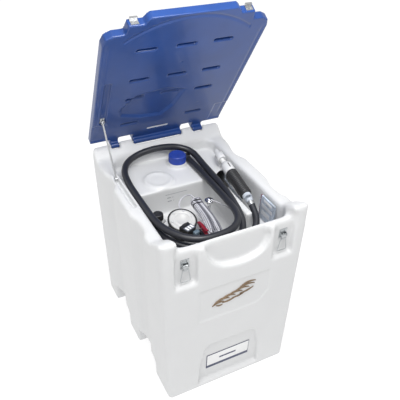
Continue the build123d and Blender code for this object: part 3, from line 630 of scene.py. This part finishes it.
# ---- document pouch, papers, plates ---------------------------------------------------------
def sheet_mesh(name, corners, bulge, mat, body, replaces=(), n=14, thick=0.0005):
    """Thin sheet over four corners (mm), bowed along its normal, with thickness."""
    a, b, c, d = [Vector(p) / 1000 for p in corners]
    nrm = (b - a).cross(d - a).normalized()
    bm = bmesh.new()
    grid = []
    for i in range(n + 1):
        row = []
        for j in range(n + 1):
            u, v = i / n, j / n
            p = a.lerp(b, u).lerp(d.lerp(c, u), v)
            w = bulge / 1000 * (math.sin(math.pi * u) * math.sin(math.pi * v)
                                + 0.35 * math.sin(5 * u + 2) * math.sin(7 * v + 1))
            row.append(bm.verts.new(p + nrm * w))
        grid.append(row)
    for i in range(n):
        for j in range(n):
            bm.faces.new((grid[i][j], grid[i + 1][j], grid[i + 1][j + 1], grid[i][j + 1]))
    bmesh.ops.solidify(bm, geom=bm.faces[:], thickness=thick)
    bmesh.ops.recalc_face_normals(bm, faces=bm.faces)
    obj = from_mesh(name, mesh_of(bm, name), mat, body, replaces)
    smooth(obj, 50)
    return obj


sheet_mesh("pouch_front", [(216.8, -252, 651), (216.8, -152, 651), (216.8, -152, 742), (216.8, -252, 742)],
           0.8, "clear_film", "tank", ["document_pouch"])
sheet_mesh("pouch_back", [(229.3, -252, 651), (229.3, -152, 651), (229.3, -152, 742), (229.3, -252, 742)],
           -0.6, "clear_film", "tank")
rounded_slab("booklet_visual", (219.4, -249, 652.2), (226.6, -155, 754.8), 1.0, "paper", "booklet_body",
             ["booklet"])
rounded_slab("booklet_spine", (218.9, -160, 652.4), (227.0, -154.8, 755), 0.8, "spine_red",
             "booklet_body")
PRINTS = ((734, 747, -232, -178), (708, 724, -240, -168), (676, 696, -228, -172))
for k, (z0, z1, y0, y1) in enumerate(PRINTS):
    rounded_slab("booklet_print_%d" % k, (218.9, y0, z0), (219.6, y1, z1), 0.2, "label_white",
                 "booklet_body")

rounded_slab("label_visual", (-103, -374, 84), (103, -372.2, 170), 0.6, "label_dark", "tank",
             ["label_plate"])
rounded_slab("label_face", (-100.5, -374.5, 101), (100.5, -373.6, 167.5), 0.4, "label_white", "tank")
rounded_slab("label_bar", (-42, -374.9, 128), (38, -374.1, 137), 0.2, "label_dark", "tank")
BETA = math.atan2(FRONT_LEAN, POST_Z)
PANEL_Z = 500
FN, FU = Vector((0, -math.cos(BETA), math.sin(BETA))), Vector((0, math.sin(BETA), math.cos(BETA)))
FO = Vector((0, 1000 * (FRONT_Y + FRONT_LEAN * PANEL_Z / (1000 * POST_Z)), PANEL_Z))


def leaf(name, pts, mat, lift):
    """Flat printed shape on the sloping front, pts in (x, height) mm about the panel centre."""
    bm = bmesh.new()
    low = [bm.verts.new((FO + Vector((x, 0, 0)) + FU * z + FN * (lift - 4)) / 1000) for x, z in pts]
    high = [bm.verts.new((FO + Vector((x, 0, 0)) + FU * z + FN * lift) / 1000) for x, z in pts]
    n = len(pts)
    bm.faces.new(high)
    bm.faces.new(low[::-1])
    for k in range(n):
        bm.faces.new((low[k], low[(k + 1) % n], high[(k + 1) % n], high[k]))
    bmesh.ops.recalc_face_normals(bm, faces=bm.faces)
    return from_mesh(name, mesh_of(bm, name), mat, "tank",
                     ["emblem_plate"] if name == "emblem_0" else ())


def blade(x0, z0, x1, z1, wide, bow):
    """Outline of a curved blade between two points."""
    d = Vector((x1 - x0, z1 - z0))
    nrm = Vector((-d.y, d.x)).normalized()
    top, low = [], []
    for i in range(13):
        t = i / 12
        mid = Vector((x0, z0)) + d * t + nrm * bow * math.sin(math.pi * t)
        w = wide * math.sin(math.pi * min(1, t * 1.02)) ** 0.7
        top.append(tuple(mid + nrm * w))
        low.append(tuple(mid - nrm * w * 0.6))
    return top + low[-2:0:-1]


for k, (x0, z0, x1, z1, wide, bow) in enumerate((
        (-95, -30, -44, -22, 5, 6), (-86, -20, -20, -14, 5, 9), (-60, -12, 6, -8, 5, 10),
        (-34, -6, 36, 0, 5, 10), (-8, 2, 66, 9, 4.6, 11), (10, 12, 88, 20, 4.2, 10),
        (22, 22, 92, 33, 3.8, 8), (-52, -28, 8, -18, 3.6, -5), (-8, -20, 50, -8, 3.6, -5),
        (24, -10, 84, 4, 3.4, -5), (-80, -32, -50, -36, 2.6, -4))):
    leaf("emblem_%d" % k, blade(x0, z0, x1, z1, wide, bow), "emblem_brown", 0.6 - 0.04 * k)

# ---- stage, light, world ----------------------------------------------------------------
bpy.ops.mesh.primitive_plane_add(size=40, location=(0, 0, -0.001))
floor = bpy.context.object
floor.name = "floor"
floor_mat = bpy.data.materials.new("floor")
floor_mat.use_nodes = True
floor_look = floor_mat.node_tree.nodes["Principled BSDF"].inputs
floor_look["Base Color"].default_value = (0.40, 0.40, 0.40, 1)
floor_look["Roughness"].default_value = 0.9
floor_look["Emission Color"].default_value = (1, 1, 1, 1)
floor_look["Emission Strength"].default_value = 0.68
floor.data.materials.append(floor_mat)

world = bpy.data.worlds.new("world")
scene.world = world
world.use_nodes = True
world.node_tree.nodes["Background"].inputs["Color"].default_value = (1, 1, 1, 1)
world.node_tree.nodes["Background"].inputs["Strength"].default_value = 0.52


def area(name, loc, target, size, power):
    data = bpy.data.lights.new(name, "AREA")
    data.size, data.energy = size, power
    obj = bpy.data.objects.new(name, data)
    scene.collection.objects.link(obj)
    obj.location = loc
    obj.rotation_euler = (Vector(target) - Vector(loc)).to_track_quat("-Z", "Y").to_euler()


area("key", (-1.6, -1.2, 3.2), (0, 0, 0.5), 1.6, 8)
area("well", (-0.05, -0.42, 1.85), (0, 0.12, 0.72), 0.5, 9)
sun_data = bpy.data.lights.new("top", "SUN")
sun_data.energy, sun_data.angle = 1.3, math.radians(45)
sun = bpy.data.objects.new("top", sun_data)
scene.collection.objects.link(sun)
sun.rotation_euler = Vector((0.22, 0.40, -1)).to_track_quat("-Z", "Y").to_euler()
scene.view_settings.view_transform = "Standard"
